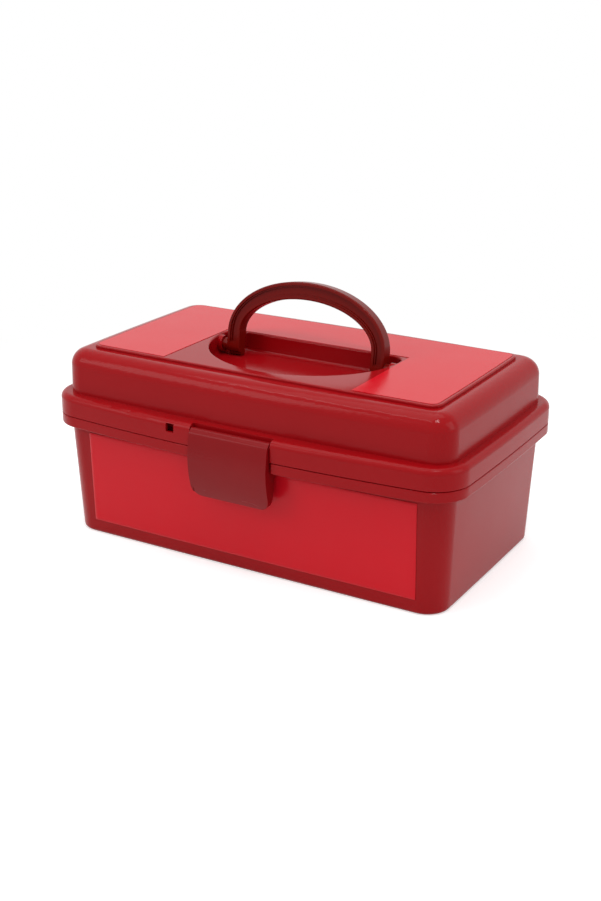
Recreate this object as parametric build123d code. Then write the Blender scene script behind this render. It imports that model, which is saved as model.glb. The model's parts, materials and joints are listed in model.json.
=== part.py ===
from build123d import *
from math import cos, radians, sin
import os

# Specimen transport box, in millimetres. X runs along the box, the latch is on the -Y side
# and Z is up. The origin is the middle of the flat underside.

# ---- driving dimensions ----------------------------------------------------------------

# Tub
MOUTH_LENGTH = 306.3        # outer length at the mouth, between the ends' corners
MOUTH_WIDTH = 166.2
MOUTH_CORNER = 17.0         # outer corner radius in plan
SEAM_HEIGHT = 92.0          # ground to the lid's lower edge
LENGTH_DRAFT = 7.7          # how much shorter the foot is than the mouth
WIDTH_DRAFT = 4.0
FOOT_BOW = 0.3              # outward bow of the side walls at the ground
SIDE_BOW = 4.0              # the same at the mouth, and of the lid's wall
END_BOW = 1.2
WALL = 2.5                  # moulded wall of the tub and the lid
FLOOR = 2.5
FOOT_ROUND = 3.0            # rounding between the walls and the underside
CAVITY_ROUND = 2.2

# Rim band round the mouth
RIM_LENGTH_OVERHANG = 6.85  # past the mouth, at each end
RIM_WIDTH_OVERHANG = 6.0    # past the mouth, at each side
RIM_CORNER = 26.0
RIM_SIDE_BOW = 9.0
RIM_END_BOW = 1.8
RIM_HEIGHT = 7.5            # height of the band on the tub
RIM_WALL = 2.4
SEAM_GAP = 0.6              # shadow gap between the bands of tub and lid
BAND_ROUND = 0.8            # small rounding on the tub's band
RIB_THICKNESS = 1.6
RIB_PITCH = 44.0            # between the ribs under the band

# Lid
FLANGE_HEIGHT = 14.8        # height of the band on the lid
FLANGE_ROUND = 4.5
LID_LENGTH_SETBACK = 0.9    # the lid's wall behind the mouth's, at each end
LID_WIDTH_SETBACK = 1.2
CROWN_HEIGHT = 31.2         # lid wall above the flange
CROWN_DRAFT = 1.4           # how much the wall closes in from flange to top
CROWN_ROUND = 12.0
PANEL_RISE = 2.0            # raised panel above the crown
PANEL_LENGTH_INSET = 15.25  # panel edge behind the lid's wall
PANEL_WIDTH_INSET = 14.75
PANEL_CORNER = 8.0
PANEL_BOW = 1.0
PANEL_ROUND = 0.9

# Seal
TONGUE_THICKNESS = 2.4
TONGUE_OFFSET = 0.4         # tongue's inner face outside the lid's wall
TONGUE_HEIGHT = 8.6         # above the seam
CHANNEL_WIDTH = 5.0
CHANNEL_PLAY = 0.2          # channel's inner wall to the gasket's room
CHANNEL_WALL = 1.4
CHANNEL_DEPTH = 4.4
GASKET_CLEARANCE = 0.05

# Handle and its well
WELL_HALF_LENGTH = 72.5
WELL_FRONT_MARGIN = 7.65    # panel's front edge to the well
WELL_AXIS_Y = 7.0           # widest line of the well
WELL_BACK_Y = 17.5
WELL_DEPTH = 14.0
WELL_WALL = 2.3
WELL_CORNER = 9.0
WELL_EDGE_ROUND = 1.2
WELL_FLOOR_ROUND = 2.5
PIVOT_Y = 3.6
PIVOT_DROP = 6.5            # panel top down to the handle's axis
HANDLE_LEAN = 9.3           # degrees that the handle leans back against its heels
HANDLE_SIDE_GAP = 8.15      # well's end to the handle's leg
HANDLE_TIP_GAP = 10.0       # folded grip to the well's front
HANDLE_LEG = 11.3           # straight part of the legs above the axis
LEG_WIDTH = 10.6
GRIP_THICKNESS = 12.5       # at the top of the arch
HANDLE_DEPTH = 9.6
HANDLE_ROUND = 1.0
CHANNEL_RIB = 2.4           # rib beside the handle's channel
CHANNEL_STEP = 1.1          # ledge inside that rib
HANDLE_CHANNEL_DEPTH = 2.2
AXLE_RADIUS = 3.2
AXLE_CLEARANCE = 0.05
AXLE_BITE = 4.2             # axle inside the well's end wall
SHOULDER_RADIUS = 4.6
SHOULDER_GAP = 0.4
BOSS_RADIUS = 6.0
BOSS_PROUD = 4.0            # boss inside the well

# Latch
LATCH_WIDTH = 62.0
LATCH_GAP = 0.8             # beside the latch, at each side
LATCH_THICKNESS = 2.4
LATCH_HEIGHT = 48.5
LATCH_BULGE = 3.6           # latch front in front of the rim band
LATCH_CORNER = 8.0
BROW_SETBACK = 0.5          # a point of the latch's rounded top, from the rim band's front
BROW_DROP = 1.2             # the same from the latch's top
BARREL_RADIUS = 3.2
BARREL_DROP = 5.0           # flange top down to the latch's axis
BARREL_SETBACK = 2.9        # band's front to the latch's axis
BARREL_CLEARANCE = 0.3
LATCH_PIN_RADIUS = 1.25
PIN_CLEARANCE = 0.05
CHEEK_WALL = 2.4            # flange walls that hold the latch pin
FLANK_THICKNESS = 1.8
FLANK_DEPTH = 9.2
HOOK_WIDTH = 48.0
HOOK_HEIGHT = 3.9
HOOK_CLEARANCE = 0.2        # between hook and catch bar, in plan
HOOK_DROP = 0.3             # catch bar's lower face to the hook
CATCH_WIDTH = 52.0
CATCH_HEIGHT = 4.9
CATCH_PROUD = 4.1           # past the mouth's wall
SLOT_CENTRE_X = -48.5       # slot for a numbered seal
SLOT_WIDTH = 6.6
SLOT_HEIGHT = 6.0
SLOT_TOP_DROP = 2.2
SLOT_PAST_WALL = 1.2        # slot's depth behind the flange's wall

# Rear hinges
HINGE_X = 85.0              # middle of each hinge
HINGE_STANDOFF = 4.3        # band's rearmost line to the axis
KNUCKLE_RADIUS = 4.0
BASE_KNUCKLE = 12.0
LID_KNUCKLE = 16.0
KNUCKLE_GAP = 0.4
HINGE_PIN_RADIUS = 1.5
WEB_GAP = 0.3

# Labels
LABEL_THICKNESS = 0.3
ADHESIVE = 0.1              # film between a sheet and the bowed wall
FRONT_LABEL_INSET = 22.15   # mouth's end to the label
FRONT_LABEL_LOW = 10.7
FRONT_LABEL_GAP = 5.9       # rim band down to the label
LABEL_CORNER = 3.0
TOP_LABEL_MARGIN = 2.5      # panel edge to the label
LABEL_WELL_MARGIN = 2.0     # well to the label

# Inside
PAD_THICKNESS = 2.5
INSERT_CLEARANCE = 0.3
DIVIDER_DROP = 17.0         # seam down to the dividers' tops
DIVIDER_THICKNESS = 2.0
COLUMNS = 5
SLOT_PLAY = 0.15            # each side of a divider in its slot

# Modelling allowances
OVERLAP = 1.0               # how far a joined or cutting solid runs past the face it meets
TOLERANCE = 0.01            # for picking edges by their level

# ---- levels and lines worked out from them ---------------------------------------------

BAND_TOP = SEAM_HEIGHT - SEAM_GAP
BAND_LOW = BAND_TOP - RIM_HEIGHT
FLANGE_TOP = SEAM_HEIGHT + FLANGE_HEIGHT
CROWN_TOP = FLANGE_TOP + CROWN_HEIGHT
PANEL_TOP = CROWN_TOP + PANEL_RISE
WELL_FLOOR = PANEL_TOP - WELL_DEPTH
WELL_FRONT = MOUTH_WIDTH / 2 - LID_WIDTH_SETBACK - PANEL_WIDTH_INSET - WELL_FRONT_MARGIN
WELL_HALF_WIDTH = WELL_FRONT + WELL_AXIS_Y
HANDLE_REACH = WELL_FRONT + PIVOT_Y - HANDLE_TIP_GAP
TONGUE_TOP = SEAM_HEIGHT + TONGUE_HEIGHT
CHANNEL_TOP = FLANGE_TOP - RIM_WALL
CHANNEL_LOW = CHANNEL_TOP - CHANNEL_DEPTH
MOUTH_SIDE = MOUTH_WIDTH / 2 + SIDE_BOW
LID_SIDE = MOUTH_SIDE - LID_WIDTH_SETBACK
RIM_SIDE = MOUTH_WIDTH / 2 + RIM_WIDTH_OVERHANG + RIM_SIDE_BOW
PIVOT_Z = PANEL_TOP - PIVOT_DROP
LATCH_AXIS = (-RIM_SIDE + BARREL_SETBACK, FLANGE_TOP - BARREL_DROP)
RECESS_BACK = LATCH_AXIS[0] + BARREL_RADIUS + BARREL_CLEARANCE
RECESS_HALF = LATCH_WIDTH / 2 + LATCH_GAP
CATCH_FRONT = -MOUTH_SIDE - CATCH_PROUD
HINGE_AXIS = (RIM_SIDE + HINGE_STANDOFF, SEAM_HEIGHT)
CHANNEL_INSIDE = -WALL + CHANNEL_WALL + CHANNEL_PLAY
CHANNEL_OUTSIDE = CHANNEL_INSIDE + CHANNEL_WIDTH


# ---- outlines --------------------------------------------------------------------------

def bowed_plan(length, width, corner, side_bow, end_bow):
    """A rectangle with rounded corners whose sides and ends bow gently outward."""
    x, y = length / 2, width / 2
    sides = [
        ThreePointArc((-x, -y), (0, -y - side_bow), (x, -y)),
        ThreePointArc((x, -y), (x + end_bow, 0), (x, y)),
        ThreePointArc((x, y), (0, y + side_bow), (-x, y)),
        ThreePointArc((-x, y), (-x - end_bow, 0), (-x, -y)),
    ]
    outline = make_face(sides)
    return fillet(outline.vertices(), corner)


def tub_plan(height, grow=0.0):
    """The tub's outline at a height, moved outward by grow."""
    closing = 1 - height / SEAM_HEIGHT
    return bowed_plan(
        MOUTH_LENGTH - LENGTH_DRAFT * closing + 2 * grow,
        MOUTH_WIDTH - WIDTH_DRAFT * closing + 2 * grow,
        MOUTH_CORNER + grow,
        SIDE_BOW + (FOOT_BOW - SIDE_BOW) * closing,
        END_BOW + (FOOT_BOW - END_BOW) * closing,
    )


def rim_plan(grow=0.0):
    return bowed_plan(
        MOUTH_LENGTH + 2 * (RIM_LENGTH_OVERHANG + grow),
        MOUTH_WIDTH + 2 * (RIM_WIDTH_OVERHANG + grow),
        RIM_CORNER + grow,
        RIM_SIDE_BOW,
        RIM_END_BOW,
    )


def lid_plan(grow=0.0):
    """The lid's wall where it meets the flange."""
    return bowed_plan(
        MOUTH_LENGTH - 2 * (LID_LENGTH_SETBACK - grow),
        MOUTH_WIDTH - 2 * (LID_WIDTH_SETBACK - grow),
        MOUTH_CORNER + grow,
        SIDE_BOW,
        END_BOW,
    )


def panel_plan(grow=0.0):
    return bowed_plan(
        MOUTH_LENGTH - 2 * (LID_LENGTH_SETBACK + PANEL_LENGTH_INSET - grow),
        MOUTH_WIDTH - 2 * (LID_WIDTH_SETBACK + PANEL_WIDTH_INSET - grow),
        PANEL_CORNER + grow,
        PANEL_BOW,
        PANEL_BOW / 2,
    )


def well_plan(grow=0.0):
    """Half an ellipse in front of a straight back edge."""
    half = WELL_HALF_LENGTH + grow
    straight = WELL_BACK_Y - WELL_AXIS_Y + grow
    oval = Pos(0, WELL_AXIS_Y) * Ellipse(half, WELL_HALF_WIDTH + grow)
    below = Pos(0, WELL_AXIS_Y - half) * Rectangle(2 * half, 2 * half)
    back = Pos(0, WELL_AXIS_Y + straight / 2) * Rectangle(2 * half, straight)
    outline = (oval & below) + back
    corners = outline.vertices().group_by(Axis.Y)[-1]
    return fillet(corners, WELL_CORNER + grow)


# ---- solids from outlines --------------------------------------------------------------

def prism(outline, low, high):
    return extrude(Pos(0, 0, low) * outline, high - low)


def tub_block(low, high, grow=0.0):
    sections = [Pos(0, 0, z) * tub_plan(z, grow) for z in (low, high)]
    return loft(sections, ruled=True)


def crown_block(low, high, grow, rounding):
    """The lid's wall and top, drafted, with a rounded upper edge."""
    sections = [Pos(0, 0, low) * lid_plan(grow), Pos(0, 0, high) * lid_plan(grow - CROWN_DRAFT / 2)]
    block = loft(sections, ruled=True)
    return fillet(block.edges().group_by(Axis.Z)[-1], rounding)


def block(x_range, y_range, z_range):
    """A box between pairs of limits."""
    spans = [high - low for low, high in (x_range, y_range, z_range)]
    middle = [(low + high) / 2 for low, high in (x_range, y_range, z_range)]
    return Pos(*middle) * Box(*spans)


def rod(radius, x_range, y, z):
    """A cylinder along X."""
    low, high = x_range
    return Pos((low + high) / 2, y, z) * Rot(0, 90, 0) * Cylinder(radius, high - low)


def mirrored(shape):
    return mirror(shape, Plane.YZ)


# ---- tub -------------------------------------------------------------------------------

def tub_cavity(grow=0.0):
    cavity = tub_block(FLOOR, SEAM_HEIGHT + OVERLAP, -WALL + grow)
    return fillet(cavity.edges().group_by(Axis.Z)[0], CAVITY_ROUND)


def rim_space():
    """The room between the tub's wall and the inside of the band."""
    inside = prism(rim_plan(-RIM_WALL / 2), BAND_LOW + OVERLAP, BAND_TOP - RIM_WALL / 2)
    return inside - tub_block(BAND_LOW - OVERLAP, BAND_TOP, -WALL / 2)


def rim_ribs():
    """Ribs under the band, the same distance apart on every side."""
    ribs = []
    side_steps = int((MOUTH_LENGTH / 2 - RIM_CORNER) / RIB_PITCH)
    for step in range(-side_steps, side_steps + 1):
        x = step * RIB_PITCH
        x_range = (x - RIB_THICKNESS / 2, x + RIB_THICKNESS / 2)
        ribs.append(block(x_range, (0, RIM_SIDE), (BAND_LOW, BAND_TOP)))
        if abs(x) > RECESS_HALF + CHEEK_WALL:
            ribs.append(block(x_range, (-RIM_SIDE, 0), (BAND_LOW, BAND_TOP)))
    for y in (-RIB_PITCH, 0, RIB_PITCH):
        y_range = (y - RIB_THICKNESS / 2, y + RIB_THICKNESS / 2)
        ribs.append(block((-MOUTH_LENGTH, MOUTH_LENGTH), y_range, (BAND_LOW, BAND_TOP)))
    return ribs


def rim_band():
    """The skirt round the mouth, open below, with its ribs."""
    outer = prism(rim_plan(), BAND_LOW, BAND_TOP)
    outer = fillet(outer.edges().group_by(Axis.Z)[-1], BAND_ROUND)
    outer = fillet(outer.edges().group_by(Axis.Z)[0], BAND_ROUND)
    band = outer - prism(rim_plan(-RIM_WALL), BAND_LOW, BAND_TOP - RIM_WALL)
    space = rim_space()
    for rib in rim_ribs():
        band += rib & space
    return band


def latch_bay():
    """What the band loses behind the latch."""
    half = RECESS_HALF + LATCH_GAP
    back = -MOUTH_SIDE - TONGUE_THICKNESS + TONGUE_OFFSET
    return block((-half, half), (-2 * RIM_SIDE, back), (BAND_LOW - OVERLAP, SEAM_HEIGHT))


def bay_cheek():
    """The wall that closes the band's cut end at the latch."""
    low = RECESS_HALF + LATCH_GAP
    slab = block((low, low + RIM_WALL), (-RIM_SIDE, -MOUTH_SIDE), (BAND_LOW, BAND_TOP))
    return slab & rim_space()


def catch_bar():
    half = CATCH_WIDTH / 2
    y_range = (CATCH_FRONT, -MOUTH_SIDE + WALL / 2)
    bar = block((-half, half), y_range, (BAND_TOP - CATCH_HEIGHT, BAND_TOP))
    return fillet(bar.edges().filter_by(Axis.X).group_by(Axis.Y)[0], BAND_ROUND)


def knuckle(x_range, upper):
    """One knuckle and its web, on the lid's band if upper and on the tub's if not."""
    y, z = HINGE_AXIS
    web_inner = MOUTH_WIDTH / 2 + RIM_WIDTH_OVERHANG + RIM_SIDE_BOW / 2
    if upper:
        web = block(x_range, (web_inner, y), (z + WEB_GAP, z + KNUCKLE_RADIUS))
    else:
        web = block(x_range, (web_inner, y), (z - KNUCKLE_RADIUS, BAND_TOP - WEB_GAP / 2))
    return web + rod(KNUCKLE_RADIUS, x_range, y, z)


def hinge_spans():
    """X ranges of a right-hand hinge: tub knuckle, lid knuckle, tub knuckle."""
    half = LID_KNUCKLE / 2
    near = (HINGE_X - half - KNUCKLE_GAP - BASE_KNUCKLE, HINGE_X - half - KNUCKLE_GAP)
    far = (HINGE_X + half + KNUCKLE_GAP, HINGE_X + half + KNUCKLE_GAP + BASE_KNUCKLE)
    return near, (HINGE_X - half, HINGE_X + half), far


def make_case_base():
    shell = tub_block(0, BAND_TOP)
    shell = fillet(shell.edges().group_by(Axis.Z)[0], FOOT_ROUND)
    shell += rim_band()
    shell += prism(lid_plan(TONGUE_OFFSET + TONGUE_THICKNESS), BAND_TOP - OVERLAP, TONGUE_TOP)
    shell -= tub_cavity()
    shell -= prism(lid_plan(TONGUE_OFFSET), BAND_TOP, TONGUE_TOP)
    shell -= latch_bay()
    shell += bay_cheek() + mirrored(bay_cheek())
    shell += catch_bar()
    near, _, far = hinge_spans()
    for span in (near, far):
        shell += knuckle(span, upper=False)
        shell += mirrored(knuckle(span, upper=False))
    bore = rod(HINGE_PIN_RADIUS, (near[0], far[1]), *HINGE_AXIS)
    return shell - bore - mirrored(bore)


# ---- lid -------------------------------------------------------------------------------

def flange_block():
    flange = prism(rim_plan(), SEAM_HEIGHT, FLANGE_TOP)
    return fillet(flange.edges().group_by(Axis.Z)[-1], FLANGE_ROUND)


def lid_shell():
    """Flange, crown and raised panel, hollow from below."""
    panel = prism(panel_plan(), CROWN_TOP - OVERLAP, PANEL_TOP)
    panel = fillet(panel.edges().group_by(Axis.Z)[-1], PANEL_ROUND)
    shell = flange_block() + crown_block(FLANGE_TOP, CROWN_TOP, 0, CROWN_ROUND) + panel
    shell -= prism(rim_plan(-RIM_WALL), SEAM_HEIGHT, CHANNEL_TOP)
    return shell - crown_block(CHANNEL_TOP, CROWN_TOP - WALL, -WALL, CROWN_ROUND - WALL)


def channel_wall(inner, outer):
    return prism(lid_plan(outer) - lid_plan(inner), CHANNEL_LOW, CHANNEL_TOP + RIM_WALL / 2)


def well_pocket():
    pocket = prism(well_plan(), WELL_FLOOR, PANEL_TOP + OVERLAP)
    return fillet(pocket.edges().group_by(Axis.Z)[0], WELL_FLOOR_ROUND)


def well_boss():
    """The right-hand boss that holds the handle's axle."""
    x_range = (WELL_HALF_LENGTH - BOSS_PROUD, WELL_HALF_LENGTH + AXLE_BITE + WALL)
    return rod(BOSS_RADIUS, x_range, PIVOT_Y, PIVOT_Z)


def axle_hole():
    x_range = (WELL_HALF_LENGTH - BOSS_PROUD, WELL_HALF_LENGTH + AXLE_BITE + SHOULDER_GAP)
    return rod(AXLE_RADIUS + AXLE_CLEARANCE, x_range, PIVOT_Y, PIVOT_Z)


def add_well(shell):
    shell += prism(well_plan(WELL_WALL), WELL_FLOOR - WELL_WALL, CROWN_TOP)
    shell -= well_pocket()
    lip = shell.edges().filter_by_position(Axis.Z, PANEL_TOP - TOLERANCE, PANEL_TOP + TOLERANCE)
    lip = lip.filter_by_position(Axis.X, -WELL_HALF_LENGTH - OVERLAP, WELL_HALF_LENGTH + OVERLAP)
    lip = lip.filter_by_position(Axis.Y, WELL_AXIS_Y - WELL_HALF_WIDTH - OVERLAP, WELL_BACK_Y + OVERLAP)
    shell = fillet(lip, WELL_EDGE_ROUND)
    shell += well_boss() + mirrored(well_boss())
    return shell - axle_hole() - mirrored(axle_hole())


def add_latch_recess(shell):
    """The gap in the flange for the latch, its closed sides and back, and the pin's holes."""
    half = RECESS_HALF
    front = (-2 * RIM_SIDE, RECESS_BACK)
    outer = half + CHEEK_WALL
    behind = RECESS_BACK + CHANNEL_WALL
    shell -= block((-half, half), front, (SEAM_HEIGHT - OVERLAP, FLANGE_TOP + OVERLAP))
    z_range = (SEAM_HEIGHT + WEB_GAP, CHANNEL_TOP + OVERLAP)
    back = block((-outer, outer), (RECESS_BACK, behind), z_range)
    cheek = block((half, outer), (-RIM_SIDE, behind), (SEAM_HEIGHT, FLANGE_TOP))
    cheek = cheek & flange_block()
    shell += back
    shell += cheek + mirrored(cheek)
    return shell - rod(LATCH_PIN_RADIUS, (-outer, outer), *LATCH_AXIS)


def seal_slot():
    x_range = (SLOT_CENTRE_X - SLOT_WIDTH / 2, SLOT_CENTRE_X + SLOT_WIDTH / 2)
    top = FLANGE_TOP - SLOT_TOP_DROP
    return block(x_range, (-RIM_SIDE, -RIM_SIDE + RIM_WALL + SLOT_PAST_WALL), (top - SLOT_HEIGHT, top))


def make_lid():
    shell = lid_shell()
    shell += channel_wall(-WALL, -WALL + CHANNEL_WALL)
    shell += channel_wall(CHANNEL_OUTSIDE, CHANNEL_OUTSIDE + CHANNEL_WALL)
    shell = add_well(shell)
    shell = add_latch_recess(shell)
    shell -= seal_slot()
    span = hinge_spans()[1]
    shell += knuckle(span, upper=True)
    shell += mirrored(knuckle(span, upper=True))
    bore = rod(HINGE_PIN_RADIUS + PIN_CLEARANCE, span, *HINGE_AXIS)
    return shell - bore - mirrored(bore)


def make_lid_gasket():
    inner = lid_plan(CHANNEL_INSIDE + GASKET_CLEARANCE)
    outer = lid_plan(CHANNEL_OUTSIDE - GASKET_CLEARANCE)
    return prism(outer - inner, TONGUE_TOP, CHANNEL_TOP)


# ---- handle ----------------------------------------------------------------------------

def arch_band(inset):
    """The handle seen from the front: half an elliptical ring on two straight legs."""
    outer_x = WELL_HALF_LENGTH - HANDLE_SIDE_GAP - inset
    outer_z = HANDLE_REACH - HANDLE_LEG - inset
    inner_x = outer_x - LEG_WIDTH + 2 * inset
    inner_z = outer_z - GRIP_THICKNESS + 2 * inset
    foot = -HANDLE_DEPTH if inset == 0 else inset
    leg_height = HANDLE_LEG - foot
    upper = Pos(0, HANDLE_LEG + HANDLE_REACH / 2) * Rectangle(3 * outer_x, HANDLE_REACH)
    arch = Pos(0, HANDLE_LEG) * (Ellipse(outer_x, outer_z) - Ellipse(inner_x, inner_z))
    leg_middle = (outer_x + inner_x) / 2
    leg = Rectangle(outer_x - inner_x, leg_height)
    legs = [Pos(side * leg_middle, HANDLE_LEG - leg_height / 2) * leg for side in (-1, 1)]
    return (arch & upper) + legs


def handle_side():
    """The handle's outline from the side: a straight bar, a round end and a square heel."""
    half = HANDLE_DEPTH / 2
    lean = radians(HANDLE_LEAN)
    heel_reach = (PIVOT_Z - WELL_FLOOR - INSERT_CLEARANCE - half * sin(lean)) / cos(lean)
    bar = Pos(0, HANDLE_REACH / 2) * Rectangle(HANDLE_DEPTH, HANDLE_REACH)
    heel = Pos(half / 2, -heel_reach / 2) * Rectangle(half, heel_reach)
    return bar + Circle(half) + heel


def stub_axle():
    """The right-hand axle and its shoulder, moulded on the leg."""
    leg = WELL_HALF_LENGTH - HANDLE_SIDE_GAP
    boss = WELL_HALF_LENGTH - BOSS_PROUD
    axle = rod(AXLE_RADIUS, (leg - OVERLAP, WELL_HALF_LENGTH + AXLE_BITE), 0, 0)
    return axle + rod(SHOULDER_RADIUS, (leg - OVERLAP, boss - SHOULDER_GAP), 0, 0)


def make_carry_handle():
    half = HANDLE_DEPTH / 2
    body = extrude(Plane.XZ * arch_band(0), half, both=True)
    body = fillet(body.edges().filter_by_position(Axis.Z, 0, HANDLE_REACH + OVERLAP), HANDLE_ROUND)
    body = body & extrude(Plane.YZ * handle_side(), WELL_HALF_LENGTH, both=True)
    depths = ((CHANNEL_RIB, HANDLE_CHANNEL_DEPTH / 2), (CHANNEL_RIB + CHANNEL_STEP, HANDLE_CHANNEL_DEPTH))
    for inset, depth in depths:
        channel = extrude(Plane.XZ * arch_band(inset), depth, both=True)
        body -= Pos(0, -half, 0) * channel
        body -= Pos(0, half, 0) * channel
    body += stub_axle() + mirrored(stub_axle())
    return Pos(0, PIVOT_Y, PIVOT_Z) * Rot(-HANDLE_LEAN, 0, 0) * body


# ---- latch -----------------------------------------------------------------------------

def latch_profile():
    """The plate from the side: a shallow bulge that hangs from the barrel."""
    y, z = LATCH_AXIS
    front = -RIM_SIDE
    top = z + BARREL_RADIUS
    low = top - LATCH_HEIGHT
    middle = (z + low) / 2
    shoulder = (front - BARREL_SETBACK / 2, z)
    toe = (front + LATCH_BULGE / 2, low)
    outer = [
        ThreePointArc((y, top), (front + BROW_SETBACK, top - BROW_DROP), shoulder),
        ThreePointArc(shoulder, (front - LATCH_BULGE, middle), toe),
    ]
    heel = (toe[0] + LATCH_THICKNESS, toe[1] + LATCH_THICKNESS / 3)
    root = (y, z - BARREL_RADIUS)
    inner = [
        Line(toe, heel),
        ThreePointArc(heel, (front - LATCH_BULGE + LATCH_THICKNESS, middle), root),
        Line(root, (y, top)),
    ]
    return make_face(outer + inner) + Pos(y, z) * Circle(BARREL_RADIUS)


def latch_flank():
    """The right-hand side wall behind the plate."""
    y, z = LATCH_AXIS
    low = z + BARREL_RADIUS - LATCH_HEIGHT
    back = -RIM_SIDE - LATCH_BULGE + LATCH_THICKNESS + FLANK_DEPTH
    outline = Polyline(
        (-RIM_SIDE - LATCH_BULGE, (z + low) / 2),
        (-RIM_SIDE, z),
        (LATCH_AXIS[0] + BARREL_RADIUS, z - BARREL_RADIUS),
        (LATCH_AXIS[0] + BARREL_RADIUS, BAND_TOP),
        (back, BAND_TOP - WEB_GAP),
        (back, (z + low) / 2),
        (-RIM_SIDE + LATCH_BULGE / 2 + LATCH_THICKNESS, low + LATCH_THICKNESS),
        (-RIM_SIDE, low + LATCH_THICKNESS),
        close=True,
    )
    start = LATCH_WIDTH / 2 - FLANK_THICKNESS
    return Pos(start, 0, 0) * extrude(Plane.YZ * make_face(outline), FLANK_THICKNESS)


def latch_hook():
    """The rib that stops just short of the catch bar in plan."""
    top = BAND_TOP - CATCH_HEIGHT - HOOK_DROP
    half = HOOK_WIDTH / 2
    tip = CATCH_FRONT - HOOK_CLEARANCE
    return block((-half, half), (-RIM_SIDE - LATCH_THICKNESS / 2, tip), (top - HOOK_HEIGHT, top))


def make_front_latch():
    half = LATCH_WIDTH / 2
    y, z = LATCH_AXIS
    plate = extrude(Plane.YZ * latch_profile(), half, both=True)
    body = plate + latch_flank() + mirrored(latch_flank()) + latch_hook()
    low = z + BARREL_RADIUS - LATCH_HEIGHT
    outline = Pos(0, z + BARREL_RADIUS - LATCH_HEIGHT / 2) * Rectangle(LATCH_WIDTH, LATCH_HEIGHT)
    corners = outline.vertices().group_by(Axis.Y)[0]
    frame = extrude(Plane.XZ * fillet(corners, LATCH_CORNER), 2 * RIM_SIDE)
    body = body & frame
    return body - rod(LATCH_PIN_RADIUS + PIN_CLEARANCE, (-half, half), y, z)


def make_latch_pin():
    half = RECESS_HALF + CHEEK_WALL
    return rod(LATCH_PIN_RADIUS, (-half, half), *LATCH_AXIS)


def make_hinge_pin():
    near, _, far = hinge_spans()
    return rod(HINGE_PIN_RADIUS, (near[0], far[1]), *HINGE_AXIS)


# ---- labels ----------------------------------------------------------------------------

def make_front_label():
    high = BAND_LOW - FRONT_LABEL_GAP
    length = MOUTH_LENGTH - 2 * FRONT_LABEL_INSET
    sheet = RectangleRounded(length, high - FRONT_LABEL_LOW, LABEL_CORNER)
    window = extrude(Plane.XZ * Pos(0, (high + FRONT_LABEL_LOW) / 2) * sheet, 2 * RIM_SIDE)
    skin = tub_block(0, BAND_TOP, ADHESIVE + LABEL_THICKNESS) - tub_block(0, BAND_TOP, ADHESIVE)
    return skin & window


def make_top_label():
    """A sheet on the raised panel, open round the well and in front of it."""
    half = WELL_HALF_LENGTH + LABEL_WELL_MARGIN
    back = WELL_BACK_Y + LABEL_WELL_MARGIN
    opening = Pos(0, back - MOUTH_WIDTH / 2) * Rectangle(2 * half, MOUTH_WIDTH)
    sheet = panel_plan(-TOP_LABEL_MARGIN) - opening
    return prism(sheet, PANEL_TOP, PANEL_TOP + LABEL_THICKNESS)


# ---- inside ----------------------------------------------------------------------------

def make_absorbent_pad():
    z_range = (0, FLOOR + PAD_THICKNESS)
    slab = block((-MOUTH_LENGTH, MOUTH_LENGTH), (-MOUTH_WIDTH, MOUTH_WIDTH), z_range)
    return tub_cavity(-INSERT_CLEARANCE) & slab


def divider_levels():
    low = FLOOR + PAD_THICKNESS
    high = SEAM_HEIGHT - DIVIDER_DROP
    return low, (low + high) / 2, high


def column_lines():
    pitch = (MOUTH_LENGTH - LENGTH_DRAFT - 2 * WALL) / COLUMNS
    return [pitch * (number - COLUMNS / 2) for number in range(1, COLUMNS)]


def make_long_divider():
    """The plate along the box, slotted from above for the cross dividers."""
    low, middle, high = divider_levels()
    half = DIVIDER_THICKNESS / 2
    plate = block((-MOUTH_LENGTH, MOUTH_LENGTH), (-half, half), (low, high))
    for x in column_lines():
        x_range = (x - half - SLOT_PLAY, x + half + SLOT_PLAY)
        plate -= block(x_range, (-WALL, WALL), (middle, high))
    return plate & tub_cavity(-INSERT_CLEARANCE)


def make_cross_divider(x):
    """One plate across the box, slotted from below to stand over the long one."""
    low, middle, high = divider_levels()
    half = DIVIDER_THICKNESS / 2
    plate = block((x - half, x + half), (-MOUTH_WIDTH, MOUTH_WIDTH), (low, high))
    slot = (-half - SLOT_PLAY, half + SLOT_PLAY)
    plate -= block((x - WALL, x + WALL), slot, (low, middle))
    return plate & tub_cavity(-INSERT_CLEARANCE)


# ---- all pieces ------------------------------------------------------------------------

def all_pieces():
    pieces = {
        "case_base": make_case_base(),
        "lid": make_lid(),
        "lid_gasket": make_lid_gasket(),
        "carry_handle": make_carry_handle(),
        "front_latch": make_front_latch(),
        "latch_pin": make_latch_pin(),
        "hinge_pin_left": mirrored(make_hinge_pin()),
        "hinge_pin_right": make_hinge_pin(),
        "front_label": make_front_label(),
        "top_label": make_top_label(),
        "absorbent_pad": make_absorbent_pad(),
        "long_divider": make_long_divider(),
    }
    for number, x in enumerate(column_lines(), start=1):
        pieces[f"cross_divider_{number}"] = make_cross_divider(x)
    return pieces


os.makedirs("parts", exist_ok=True)
for name, piece in all_pieces().items():
    export_step(piece, f"parts/{name}.step")
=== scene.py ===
import json
import math

import bmesh
import bpy
from mathutils import Matrix, Vector
from mathutils.bvhtree import BVHTree


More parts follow.
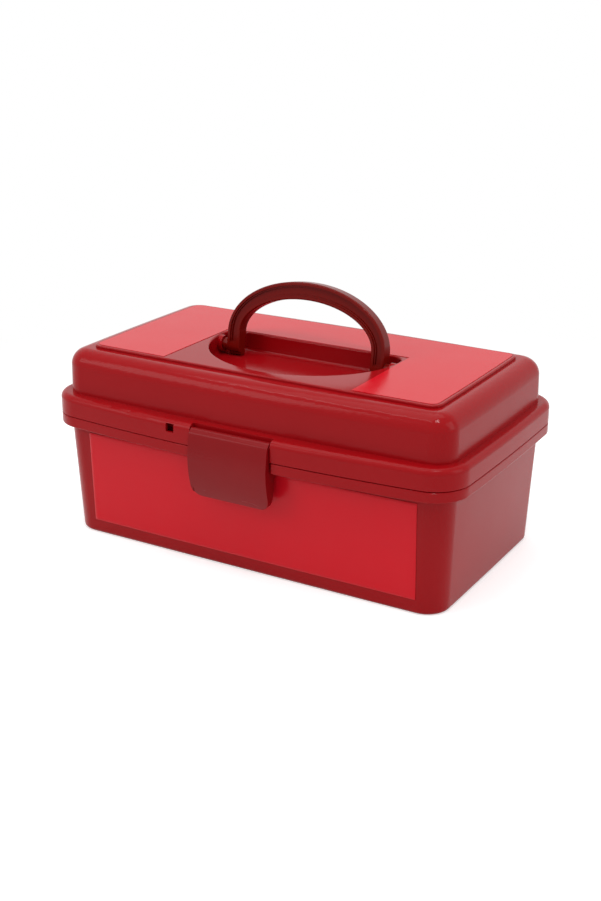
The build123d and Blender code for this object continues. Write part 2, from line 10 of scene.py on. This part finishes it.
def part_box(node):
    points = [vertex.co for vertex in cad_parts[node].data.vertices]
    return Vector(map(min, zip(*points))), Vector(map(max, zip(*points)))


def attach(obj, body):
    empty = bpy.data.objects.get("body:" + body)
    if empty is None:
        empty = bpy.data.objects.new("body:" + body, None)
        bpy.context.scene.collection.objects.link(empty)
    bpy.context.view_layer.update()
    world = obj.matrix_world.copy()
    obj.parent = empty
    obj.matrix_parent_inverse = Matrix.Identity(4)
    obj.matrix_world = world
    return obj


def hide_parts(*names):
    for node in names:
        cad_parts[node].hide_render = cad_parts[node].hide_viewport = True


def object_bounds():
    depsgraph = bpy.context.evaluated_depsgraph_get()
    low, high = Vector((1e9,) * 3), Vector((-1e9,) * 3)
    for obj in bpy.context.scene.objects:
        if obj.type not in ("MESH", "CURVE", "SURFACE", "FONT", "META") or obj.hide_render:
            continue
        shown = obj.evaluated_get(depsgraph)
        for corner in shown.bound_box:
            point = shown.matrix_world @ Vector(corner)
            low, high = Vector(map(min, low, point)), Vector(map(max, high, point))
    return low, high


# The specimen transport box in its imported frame, in metres. X runs along the box, the latch is
# on the -Y side and Z is up. The origin is the middle of the flat underside.

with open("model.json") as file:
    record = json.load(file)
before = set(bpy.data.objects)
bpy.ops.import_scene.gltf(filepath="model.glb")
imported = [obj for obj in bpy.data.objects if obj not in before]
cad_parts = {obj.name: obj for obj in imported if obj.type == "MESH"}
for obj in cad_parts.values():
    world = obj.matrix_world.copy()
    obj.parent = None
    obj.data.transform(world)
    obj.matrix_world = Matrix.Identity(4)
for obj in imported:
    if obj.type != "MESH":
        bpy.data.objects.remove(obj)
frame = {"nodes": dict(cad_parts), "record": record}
cad_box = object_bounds()
NODES = frame["nodes"]
MM = 0.001
WHITE = (1, 1, 1, 1)

# ---- camera ------------------------------------------------------------------------------

CAMERA_AZIMUTH = 30.33       # degrees from the front towards the right-hand end
CAMERA_ELEVATION = 20.57     # degrees above the level
CAMERA_DISTANCE = 1.0193     # from the target
CAMERA_TARGET = Vector((-0.0019, 0.0, 0.0627))
CAMERA_ROLL = 0.10           # degrees
SENSOR = 36.0                # millimetres along the image's long side
FOCAL_PIXELS = 1393.7        # for an image that is 901 pixels high
IMAGE_LONG_SIDE = 901


def add_camera():
    azimuth = math.radians(CAMERA_AZIMUTH)
    elevation = math.radians(CAMERA_ELEVATION)
    back = Vector((
        math.sin(azimuth) * math.cos(elevation),
        -math.cos(azimuth) * math.cos(elevation),
        math.sin(elevation),
    ))
    data = bpy.data.cameras.new("camera")
    data.sensor_width = SENSOR
    data.lens = FOCAL_PIXELS / IMAGE_LONG_SIDE * SENSOR
    camera = bpy.data.objects.new("camera", data)
    camera.location = CAMERA_TARGET + back * CAMERA_DISTANCE
    turn = (-back).to_track_quat("-Z", "Y").to_matrix().to_4x4()
    roll = Matrix.Rotation(math.radians(CAMERA_ROLL), 4, "Z")
    camera.rotation_euler = (turn @ roll).to_euler()
    bpy.context.scene.collection.objects.link(camera)
    bpy.context.scene.camera = camera


# ---- stage and light -----------------------------------------------------------------------

FLOOR_HALF = 4.0
FLOOR_COLOUR = 0.80
FLOOR_GLOW = 0.46            # the floor's own light, where it is seen
WHITE_NEAR = 0.30            # the floor starts to turn white here, in metres from the box's middle
WHITE_FAR = 0.60             # and is all white from here
AMBIENT = 0.62               # the world's light on the object
BACKGROUND_RAYS = ("Is Camera Ray", "Is Glossy Ray", "Is Transmission Ray")

# name: place, width and depth, and watts of each softbox. All of them face the camera's target.
SOFTBOXES = {
    "top": ((-0.2, 0.1, 1.5), (1.4, 1.0), 6),
    "key": ((-1.1, -1.3, 1.1), (0.9, 0.9), 7),
    "right": ((1.6, 0.2, 0.8), (0.8, 1.2), 5),
    "edge_strip": ((-0.31, -0.53, 1.21), (1.0, 0.06), 1.4),
    "corner_glint": ((0.36, -0.36, 1.15), (0.20, 0.20), 2.4),
}


def combine(tree, operation, first, second):
    """The outcome of a Math node. The second value is a socket or a plain number."""
    node = tree.nodes.new("ShaderNodeMath")
    node.operation = operation
    tree.links.new(first, node.inputs[0])
    if isinstance(second, float):
        node.inputs[1].default_value = second
    else:
        tree.links.new(second, node.inputs[1])
    return node.outputs[0]


def mix_shaders(tree, share, first, second):
    """Two shaders in one, where share is how much of the second shows."""
    node = tree.nodes.new("ShaderNodeMixShader")
    tree.links.new(share, node.inputs["Fac"])
    tree.links.new(first, node.inputs[1])
    tree.links.new(second, node.inputs[2])
    return node.outputs[0]


def seen_as_background(tree):
    """1 for rays that see the white surroundings, 0 for those that only light the object."""
    path = tree.nodes.new("ShaderNodeLightPath")
    seen = path.outputs[BACKGROUND_RAYS[0]]
    for ray in BACKGROUND_RAYS[1:]:
        seen = combine(tree, "MAXIMUM", seen, path.outputs[ray])
    return seen


def add_world():
    """White where it is seen, and a dimmer even light on the object."""
    world = bpy.data.worlds.new("studio")
    bpy.context.scene.world = world
    world.use_nodes = True
    tree = world.node_tree
    tree.nodes.clear()
    ambient = tree.nodes.new("ShaderNodeBackground")
    ambient.inputs["Color"].default_value = WHITE
    ambient.inputs["Strength"].default_value = AMBIENT
    white = tree.nodes.new("ShaderNodeBackground")
    white.inputs["Color"].default_value = WHITE
    sky = mix_shaders(tree, seen_as_background(tree), ambient.outputs[0], white.outputs[0])
    output = tree.nodes.new("ShaderNodeOutputWorld")
    tree.links.new(sky, output.inputs["Surface"])


def distance_share(tree, near, far):
    """How far a point is from the object's origin: 0 up to near, 1 from far."""
    coordinates = tree.nodes.new("ShaderNodeTexCoord")
    distance = tree.nodes.new("ShaderNodeVectorMath")
    distance.operation = "LENGTH"
    tree.links.new(coordinates.outputs["Object"], distance.inputs[0])
    share = tree.nodes.new("ShaderNodeMapRange")
    share.interpolation_type = "SMOOTHSTEP"
    share.inputs["From Min"].default_value = near
    share.inputs["From Max"].default_value = far
    tree.links.new(distance.outputs["Value"], share.inputs["Value"])
    return share.outputs["Result"]


def floor_material():
    """A pale floor that keeps the box's shadow and turns plain white further off."""
    material = bpy.data.materials.new("floor")
    material.use_nodes = True
    tree = material.node_tree
    tree.nodes.clear()
    seen = seen_as_background(tree)
    diffuse = tree.nodes.new("ShaderNodeBsdfDiffuse")
    diffuse.inputs["Color"].default_value = (FLOOR_COLOUR, FLOOR_COLOUR, FLOOR_COLOUR, 1)
    glow = tree.nodes.new("ShaderNodeEmission")
    tree.links.new(combine(tree, "MULTIPLY", seen, FLOOR_GLOW), glow.inputs["Strength"])
    lit = tree.nodes.new("ShaderNodeAddShader")
    tree.links.new(diffuse.outputs[0], lit.inputs[0])
    tree.links.new(glow.outputs[0], lit.inputs[1])
    white = tree.nodes.new("ShaderNodeEmission")
    away = combine(tree, "MULTIPLY", distance_share(tree, WHITE_NEAR, WHITE_FAR), seen)
    output = tree.nodes.new("ShaderNodeOutputMaterial")
    tree.links.new(mix_shaders(tree, away, lit.outputs[0], white.outputs[0]), output.inputs["Surface"])
    return material


def add_floor():
    h = FLOOR_HALF
    mesh = bpy.data.meshes.new("floor")
    mesh.from_pydata([(-h, -h, 0), (h, -h, 0), (h, h, 0), (-h, h, 0)], [], [(0, 1, 2, 3)])
    floor = bpy.data.objects.new("floor", mesh)
    bpy.context.scene.collection.objects.link(floor)
    mesh.materials.append(floor_material())


def add_lights():
    for name, (place, size, watts) in SOFTBOXES.items():
        data = bpy.data.lights.new(name, "AREA")
        data.shape = "RECTANGLE"
        data.size, data.size_y = size
        data.energy = watts
        lamp = bpy.data.objects.new(name, data)
        lamp.location = place
        lamp.rotation_euler = (CAMERA_TARGET - Vector(place)).to_track_quat("-Z", "Y").to_euler()
        bpy.context.scene.collection.objects.link(lamp)


# ---- materials ---------------------------------------------------------------------------

RED_SHELL = (0.31, 0.0030, 0.0055)
# the handle's red, darkened in part as painted shade: it stands in for the shade of a channel deeper
# than the modelled one
HANDLE_RED_WITH_PAINTED_SHADE = (0.155, 0.0035, 0.0020)
RED_LATCH = (0.22, 0.0030, 0.0050)
RED_LABEL = (0.59, 0.0060, 0.0150)
BLACK_SEAL = (0.018, 0.018, 0.020)
GREY_STEEL = (0.55, 0.55, 0.57)
WHITE_PAD = (0.76, 0.76, 0.73)
WHITE_DIVIDER = (0.68, 0.69, 0.71)

POLISHED_FROM = 0.110        # the lid's top is smoother than its walls, from this height
POLISHED_TO = 0.138
POLISHED_SHARE = 0.55        # of the walls' roughness and grain, left on the top
FILM_SCUFFS = 0.08           # how much rougher a sheet gets in places
NOISE_LOW = 0.3              # nearly all of a noise lies between these
NOISE_HIGH = 0.7


class Surface:
    """A node-based material that is built up from noise layers."""

    def __init__(self, name, level=0.5, metallic=0.0):
        self.material = bpy.data.materials.new(name)
        self.material.use_nodes = True
        self.tree = self.material.node_tree
        self.shader = self.tree.nodes["Principled BSDF"]
        self.shader.inputs["Specular IOR Level"].default_value = level
        self.shader.inputs["Metallic"].default_value = metallic
        self.place = self.tree.nodes.new("ShaderNodeTexCoord").outputs["Object"]
        self.normal = None

    def noise(self, scale, detail, stretch=(1, 1, 1)):
        """A noise of so many cells a metre, drawn out along the axes whose stretch is small."""
        mapping = self.tree.nodes.new("ShaderNodeMapping")
        mapping.inputs["Scale"].default_value = stretch
        self.tree.links.new(self.place, mapping.inputs["Vector"])
        texture = self.tree.nodes.new("ShaderNodeTexNoise")
        texture.inputs["Scale"].default_value = scale
        texture.inputs["Detail"].default_value = detail
        self.tree.links.new(mapping.outputs["Vector"], texture.inputs["Vector"])
        return texture.outputs["Fac"]

    def span(self, value, low, high, start=NOISE_LOW, stop=NOISE_HIGH):
        """value's range from start to stop, turned into low to high."""
        node = self.tree.nodes.new("ShaderNodeMapRange")
        node.inputs["From Min"].default_value = start
        node.inputs["From Max"].default_value = stop
        node.inputs["To Min"].default_value = low
        node.inputs["To Max"].default_value = high
        self.tree.links.new(value, node.inputs["Value"])
        return node.outputs["Result"]

    def product(self, first, second):
        return combine(self.tree, "MULTIPLY", first, second)

    def height(self):
        """How high a point is above the ground."""
        node = self.tree.nodes.new("ShaderNodeSeparateXYZ")
        self.tree.links.new(self.place, node.inputs[0])
        return node.outputs["Z"]

    def colour(self, value, colour, swing):
        """Paints the colour, darker and lighter by the share swing."""
        ramp = self.tree.nodes.new("ShaderNodeValToRGB")
        for element, factor in zip(ramp.color_ramp.elements, (1 - swing, 1 + swing)):
            element.color = (*[c * factor for c in colour], 1)
        self.tree.links.new(value, ramp.inputs["Fac"])
        self.tree.links.new(ramp.outputs["Color"], self.shader.inputs["Base Color"])

    def roughness(self, value):
        self.tree.links.new(value, self.shader.inputs["Roughness"])

    def relief(self, value, depth):
        """Adds a layer of bumps, up to depth in metres."""
        bump = self.tree.nodes.new("ShaderNodeBump")
        bump.inputs["Distance"].default_value = depth
        self.tree.links.new(value, bump.inputs["Height"])
        if self.normal:
            self.tree.links.new(self.normal, bump.inputs["Normal"])
        self.normal = bump.outputs["Normal"]
        self.tree.links.new(self.normal, self.shader.inputs["Normal"])


def red_shell():
    """Moulded polypropylene: glossy on top, faintly pebbled on the walls."""
    surface = Surface("red_shell", level=0.12)
    surface.colour(surface.noise(scale=16, detail=4), RED_SHELL, swing=0.05)
    polish = surface.span(surface.height(), 1.0, POLISHED_SHARE, POLISHED_FROM, POLISHED_TO)
    scuffs = surface.noise(scale=50, detail=5, stretch=(1, 1, 0.6))
    surface.roughness(surface.product(surface.span(scuffs, low=0.19, high=0.25), polish))
    surface.relief(surface.noise(scale=9, detail=1), depth=0.25 * MM)
    surface.relief(surface.product(surface.noise(scale=1100, detail=1), polish), depth=0.03 * MM)
    return surface.material


def handle_plastic():
    """Satin moulded plastic, darker than the shell; part of that darkness is painted shade for the
    handle's deeper channel.
    """
    surface = Surface("handle_plastic", level=0.12)
    surface.colour(surface.noise(scale=30, detail=4), HANDLE_RED_WITH_PAINTED_SHADE, swing=0.10)
    surface.roughness(surface.span(surface.noise(scale=90, detail=5), low=0.18, high=0.28))
    surface.relief(surface.noise(scale=25, detail=2), depth=0.2 * MM)
    surface.relief(surface.noise(scale=900, detail=1), depth=0.02 * MM)
    return surface.material


def latch_plastic():
    """Moulded plastic, mottled up and down and scuffed from side to side."""
    surface = Surface("latch_plastic", level=0.15)
    surface.colour(surface.noise(scale=35, detail=3, stretch=(1, 1, 0.4)), RED_LATCH, swing=0.07)
    scuffs = surface.noise(scale=120, detail=5, stretch=(0.3, 1, 1))
    surface.roughness(surface.span(scuffs, low=0.20, high=0.28))
    surface.relief(surface.noise(scale=18, detail=1), depth=0.2 * MM)
    surface.relief(surface.noise(scale=1000, detail=1), depth=0.03 * MM)
    return surface.material


def label_film(name, roughness):
    """Glossy film, laid on with the faint waves of a hand-stuck sheet."""
    surface = Surface(name, level=0.15)
    surface.colour(surface.noise(scale=24, detail=3), RED_LABEL, swing=0.025)
    scuffs = surface.noise(scale=70, detail=5)
    surface.roughness(surface.span(scuffs, low=roughness, high=roughness + FILM_SCUFFS))
    surface.relief(surface.noise(scale=14, detail=2, stretch=(0.5, 1, 1)), depth=0.25 * MM)
    surface.relief(surface.noise(scale=2200, detail=1), depth=0.01 * MM)
    return surface.material


def seal_rubber():
    """Matt black rubber."""
    surface = Surface("seal_rubber", level=0.35)
    surface.colour(surface.noise(scale=200, detail=6), BLACK_SEAL, swing=0.35)
    surface.roughness(surface.span(surface.noise(scale=400, detail=3), low=0.55, high=0.75))
    surface.relief(surface.noise(scale=1500, detail=2), depth=0.04 * MM)
    return surface.material


def pin_steel():
    """Drawn wire: fine streaks along the pins, which lie along X."""
    surface = Surface("pin_steel", metallic=1.0)
    streaks = surface.noise(scale=4000, detail=3, stretch=(0.02, 1, 1))
    surface.colour(streaks, GREY_STEEL, swing=0.10)
    surface.roughness(surface.span(streaks, low=0.22, high=0.40))
    surface.relief(streaks, depth=0.01 * MM)
    return surface.material


def pad_fibre():
    """Pressed cellulose fibre: matt, with lint lying both ways."""
    surface = Surface("pad_fibre", level=0.1)
    lint = surface.product(
        surface.noise(scale=900, detail=6, stretch=(0.15, 1, 1)),
        surface.noise(scale=900, detail=6, stretch=(1, 0.15, 1)),
    )
    surface.colour(lint, WHITE_PAD, swing=0.10)
    surface.roughness(surface.span(lint, low=0.85, high=1.0, start=0.0, stop=1.0))
    surface.relief(lint, depth=0.3 * MM)
    return surface.material


def divider_plastic():
    """Pale satin sheet."""
    surface = Surface("divider_plastic", level=0.35)
    surface.colour(surface.noise(scale=40, detail=4), WHITE_DIVIDER, swing=0.03)
    scuffs = surface.noise(scale=150, detail=4, stretch=(1, 1, 0.2))
    surface.roughness(surface.span(scuffs, low=0.35, high=0.50))
    surface.relief(surface.noise(scale=1300, detail=2), depth=0.03 * MM)
    return surface.material


MATERIALS = {
    "red_shell": red_shell(),
    "handle_plastic": handle_plastic(),
    "latch_plastic": latch_plastic(),
    "front_label_sheet": label_film("front_label_sheet", roughness=0.16),
    "top_label_sheet": label_film("top_label_sheet", roughness=0.14),
    "seal_rubber": seal_rubber(),
    "pin_steel": pin_steel(),
    "pad_fibre": pad_fibre(),
    "divider_plastic": divider_plastic(),
}

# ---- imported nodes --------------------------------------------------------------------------

CREASE_ANGLE = 28.0          # degrees from which an edge stays sharp
WELD = 0.002 * MM
LARGE_FACES_LEAD = 100       # large faces settle the shading at a corner; 50 is neutral


def moulded_surface():
    """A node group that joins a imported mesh's facets and shades its curves smoothly."""
    group = bpy.data.node_groups.new("moulded_surface", "GeometryNodeTree")
    for direction in ("INPUT", "OUTPUT"):
        group.interface.new_socket("Geometry", in_out=direction, socket_type="NodeSocketGeometry")
    nodes, links = group.nodes, group.links
    start = nodes.new("NodeGroupInput")
    bare = nodes.new("GeometryNodeRemoveAttribute")
    bare.inputs["Name"].default_value = "custom_normal"
    links.new(start.outputs[0], bare.inputs["Geometry"])
    weld = nodes.new("GeometryNodeMergeByDistance")
    weld.inputs["Distance"].default_value = WELD
    links.new(bare.outputs["Geometry"], weld.inputs["Geometry"])
    faces = nodes.new("GeometryNodeSetShadeSmooth")
    faces.domain = "FACE"
    links.new(weld.outputs["Geometry"], faces.inputs["Geometry"])
    angle = nodes.new("GeometryNodeInputMeshEdgeAngle")
    sharp = nodes.new("FunctionNodeCompare")
    sharp.data_type = "FLOAT"
    sharp.operation = "GREATER_THAN"
    sharp.inputs["B"].default_value = math.radians(CREASE_ANGLE)
    links.new(angle.outputs["Unsigned Angle"], sharp.inputs["A"])
    edges = nodes.new("GeometryNodeSetShadeSmooth")
    edges.domain = "EDGE"
    edges.inputs["Shade Smooth"].default_value = False
    links.new(sharp.outputs["Result"], edges.inputs["Selection"])
    links.new(faces.outputs["Geometry"], edges.inputs["Geometry"])
    finish = nodes.new("NodeGroupOutput")
    links.new(edges.outputs["Geometry"], finish.inputs[0])
    return group


def dress_nodes():
    """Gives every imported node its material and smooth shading. No vertex moves."""
    group = moulded_surface()
    slots = {row["node"]: row["material_slot"] for row in frame["record"]["subparts"]}
    for name, node in NODES.items():
        node.data.materials.clear()
        node.data.materials.append(MATERIALS[slots[name]])
        smooth = node.modifiers.new("moulded_surface", "NODES")
        smooth.node_group = group
        weighted = node.modifiers.new("weighted_normals", "WEIGHTED_NORMAL")
        weighted.keep_sharp = True
        weighted.weight = LARGE_FACES_LEAD


# ---- modelled sheets -----------------------------------------------------------------------

def cells(columns, rows):
    """The four corners of every cell in a grid of points that is counted row by row."""
    width = columns + 1
    for row in range(rows):
        for column in range(columns):
            first = row * width + column
            yield first, first + 1, first + 1 + width, first + width


def border(columns, rows):
    """The points round the edge of such a grid, in order."""
    width = columns + 1
    points = list(range(columns))
    points += [row * width + columns for row in range(rows)]
    points += [rows * width + column for column in range(columns, 0, -1)]
    points += [row * width for row in range(rows, 0, -1)]
    return points


def add_piece(build, name, slot):
    """Turns the built mesh into a smoothly shaded object in the slot's material."""
    mesh = bpy.data.meshes.new(name)
    build.to_mesh(mesh)
    build.free()
    for face in mesh.polygons:
        face.use_smooth = True
    mesh.materials.append(MATERIALS[slot])
    piece = bpy.data.objects.new(name, mesh)
    bpy.context.scene.collection.objects.link(piece)
    return piece


# ---- absorbent pad -------------------------------------------------------------------------

PAD_INSET = 2.2 * MM         # stays clear of the tub's rounded floor
PAD_CORNER = 13.0 * MM
PAD_CELLS = (110, 60)
QUILT_PITCH = 15.0 * MM      # between the pressed lines
QUILT_SOFTNESS = 0.30        # lower is fuller between the lines
SEAM_SHARE = 0.38            # pressed lines' height as a share of the pad's
PAD_HEM = 5.0 * MM           # sealed border
HEM_SHARE = 0.30
WAIST = 0.8 * MM             # how far the sides pull in between the corners


def pad_height(x, y, half_x, half_y):
    """The pad's height over its underside at a point, from 0 to 1."""
    to_edge = min(half_x - abs(x), half_y - abs(y))
    inside = min(max(to_edge / PAD_HEM, 0.0), 1.0)
    crown = HEM_SHARE + (1 - HEM_SHARE) * math.sin(inside * math.pi / 2)
    across = abs(math.sin(math.pi * (x + y) / QUILT_PITCH / math.sqrt(2)))
    along = abs(math.sin(math.pi * (x - y) / QUILT_PITCH / math.sqrt(2)))
    pillow = (across * along) ** QUILT_SOFTNESS
    return crown * (SEAM_SHARE + (1 - SEAM_SHARE) * pillow)


def pad_point(u, v, half_x, half_y):
    """A place on the pad's plan from u and v between -1 and 1."""
    y = v * (half_y - WAIST * (1 - u * u))
    past = max(abs(y) - (half_y - PAD_CORNER), 0.0)
    reach = half_x - PAD_CORNER + math.sqrt(PAD_CORNER ** 2 - past ** 2)
    return u * (reach - WAIST * (1 - v * v)), y


def pad_layer(build, low, high, quilted):
    """The grid of points of the pad's flat underside, or of its quilted top."""
    half_x, half_y = high.x - PAD_INSET, high.y - PAD_INSET
    columns, rows = PAD_CELLS
    layer = []
    for row in range(rows + 1):
        for column in range(columns + 1):
            x, y = pad_point(2 * column / columns - 1, 2 * row / rows - 1, half_x, half_y)
            rise = pad_height(x, y, half_x, half_y) if quilted else 0.0
            layer.append(build.verts.new((x, y, low.z + rise * (high.z - low.z))))
    return layer


def add_pad():
    """A quilted absorbent sheet in the middle of the tub's floor."""
    low, high = (Vector(corner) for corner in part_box("absorbent_pad"))
    build = bmesh.new()
    bottom = pad_layer(build, low, high, quilted=False)
    upper = pad_layer(build, low, high, quilted=True)
    for cell in cells(*PAD_CELLS):
        build.faces.new([upper[i] for i in cell])
        build.faces.new([bottom[i] for i in reversed(cell)])
    edge = border(*PAD_CELLS)
    for here, there in zip(edge, edge[1:] + edge[:1]):
        build.faces.new((bottom[here], bottom[there], upper[there], upper[here]))
    pad = add_piece(build, "quilted_pad", "pad_fibre")
    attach(pad, "case")
    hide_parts("absorbent_pad")


# ---- front sheet -----------------------------------------------------------------------------

SHEET_SHIFT = 1.7 * MM       # the sheet sits this far right of the plain solid
SHEET_LIFT = 1.5 * MM        # and its upper edge this far over the solid's
SHEET_FILM = 0.30 * MM
SHEET_GLUE = 0.10 * MM       # between the film and the wall
SHEET_EDGE = 0.08 * MM       # bevel round the film
SHEET_CELLS = (131, 34)
BACKWARD = Vector((0, 1, 0))
TOWARDS_WALL = -1            # the side of the built surface on which the film gets its thickness


def add_front_sheet():
    """The front label, laid on the tub's bowed and drafted wall."""
    low, high = (Vector(corner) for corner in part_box("front_label"))
    case = NODES["case_base"].data
    wall = BVHTree.FromPolygons([v.co for v in case.vertices], [f.vertices for f in case.polygons])
    in_front = cad_box[0][1]     # where the rays start
    columns, rows = SHEET_CELLS
    build = bmesh.new()
    grid = []
    for row in range(rows + 1):
        z = low.z + (high.z + SHEET_LIFT - low.z) * row / rows
        for column in range(columns + 1):
            x = low.x + SHEET_SHIFT + (high.x - low.x) * column / columns
            place, normal, _, _ = wall.ray_cast(Vector((x, in_front, z)), BACKWARD)
            grid.append(build.verts.new(place + normal * (SHEET_GLUE + SHEET_FILM)))
    for cell in cells(*SHEET_CELLS):
        build.faces.new([grid[i] for i in cell])
    sheet = add_piece(build, "front_sheet", "front_label_sheet")
    film = sheet.modifiers.new("film", "SOLIDIFY")
    film.thickness = SHEET_FILM
    film.offset = TOWARDS_WALL
    rim = sheet.modifiers.new("edge", "BEVEL")
    rim.width = SHEET_EDGE
    rim.limit_method = "ANGLE"
    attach(sheet, "case")
    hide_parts("front_label")


# ---- making --------------------------------------------------------------------------------

add_camera()
add_world()
add_floor()
add_lights()
dress_nodes()
add_pad()
add_front_sheet()

bpy.context.scene.view_settings.view_transform = "Standard"
